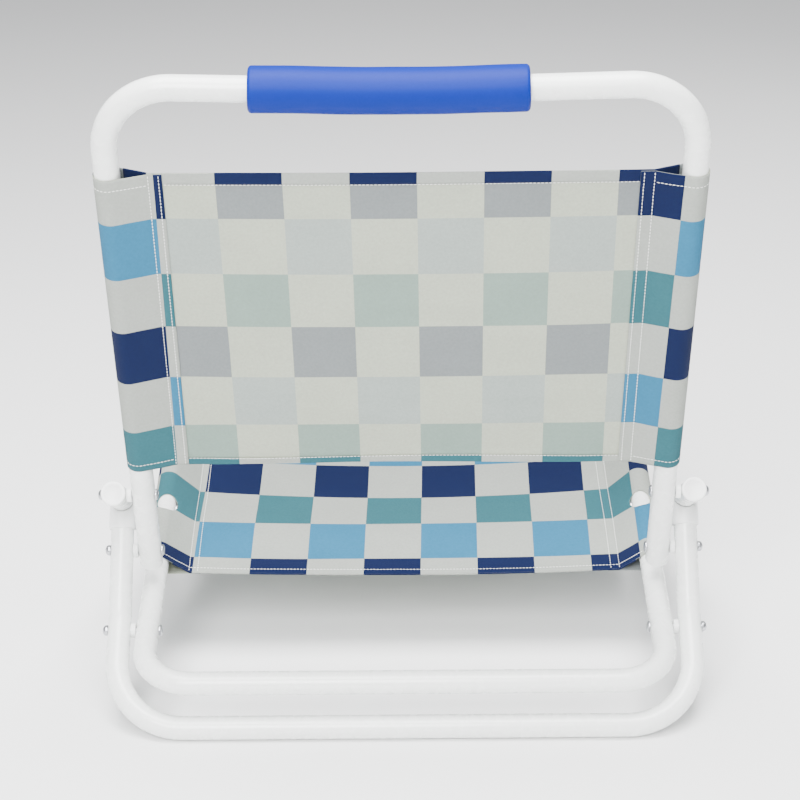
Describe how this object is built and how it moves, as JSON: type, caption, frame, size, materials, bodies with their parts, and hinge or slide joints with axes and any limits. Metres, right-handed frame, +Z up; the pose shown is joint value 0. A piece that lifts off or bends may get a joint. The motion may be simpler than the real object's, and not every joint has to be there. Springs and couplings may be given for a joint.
{
  "type": "folding camp chair",
  "caption": "Low armless folding chair of round white steel tube with checked fabric slings on seat and back and a foam carry handle on the top bar.",
  "frame": {"origin": "on the ground, under the middle of the open chair's box", "axes": "+Z up, -Y the way the sitter faces, +X the sitter's left"},
  "size_m": [0.5764, 0.6154, 0.6402],
  "materials": {
    "powder_coat": "gloss white powder coat",
    "white_plastic": "smooth moulded",
    "zinc": "zinc plated",
    "foam": "fine closed-cell foam, satin",
    "back_cloth": "plain-woven polyester, printed checks",
    "seat_cloth": "plain-woven polyester, printed checks"
  },
  "bodies": {
    "seat": {"seat_rear_tube": "powder_coat", "seat_front_tube": "powder_coat", "seat_ferrule_left": "zinc", "seat_ferrule_right": "zinc", "seat_sling": "seat_cloth", "rear_pivot_bolt_left": "zinc", "rear_pivot_spacer_left": "white_plastic", "rear_pivot_nut_left": "zinc", "rear_pivot_bolt_right": "zinc", "rear_pivot_spacer_right": "white_plastic", "rear_pivot_nut_right": "zinc", "front_pivot_bolt_left": "zinc", "front_pivot_spacer_left": "white_plastic", "front_pivot_bolt_right": "zinc", "front_pivot_spacer_right": "white_plastic"},
    "rear_leg": {"rear_leg_tube": "powder_coat", "saddle_cap_left": "white_plastic", "saddle_cap_right": "white_plastic", "back_pivot_bolt_left": "zinc", "back_pivot_spacer_left": "white_plastic", "back_pivot_nut_left": "zinc", "back_pivot_bolt_right": "zinc", "back_pivot_spacer_right": "white_plastic", "back_pivot_nut_right": "zinc"},
    "back": {"back_frame_tube": "powder_coat", "handle_grip": "foam", "back_sling": "back_cloth", "back_plug_left": "white_plastic", "back_plug_right": "white_plastic", "upper_pivot_bolt_left": "zinc", "upper_pivot_spacer_left": "white_plastic", "upper_pivot_nut_left": "zinc", "upper_pivot_bolt_right": "zinc", "upper_pivot_spacer_right": "white_plastic", "upper_pivot_nut_right": "zinc"},
    "front_leg": {"front_leg_tube": "powder_coat", "front_leg_plug_left": "white_plastic", "front_leg_plug_right": "white_plastic", "front_pivot_nut_left": "zinc", "front_pivot_nut_right": "zinc"}
  },
  "joints": [
    {"name": "rear_leg_fold", "type": "hinge", "parent": "seat", "child": "rear_leg", "pos_m": [0, 0.18137, 0.07529], "axis": [-1, 0, 0], "range_deg": [0, 92.22]},
    {"name": "back_fold", "type": "hinge", "parent": "rear_leg", "child": "back", "pos_m": [0, 0.13387, 0.13729], "axis": [1, 0, 0], "range_deg": [0, 184.91]},
    {"name": "front_leg_fold", "type": "hinge", "parent": "back", "child": "front_leg", "pos_m": [0, 0.15557, 0.20519], "axis": [-1, 0, 0], "range_deg": [0, 116.25]}
  ],
  "couplings": [
    {"joint": "rear_leg_fold", "follows": "back_fold", "ratio": 0.49846},
    {"joint": "front_leg_fold", "follows": "back_fold", "ratio": 0.62844}
  ]
}
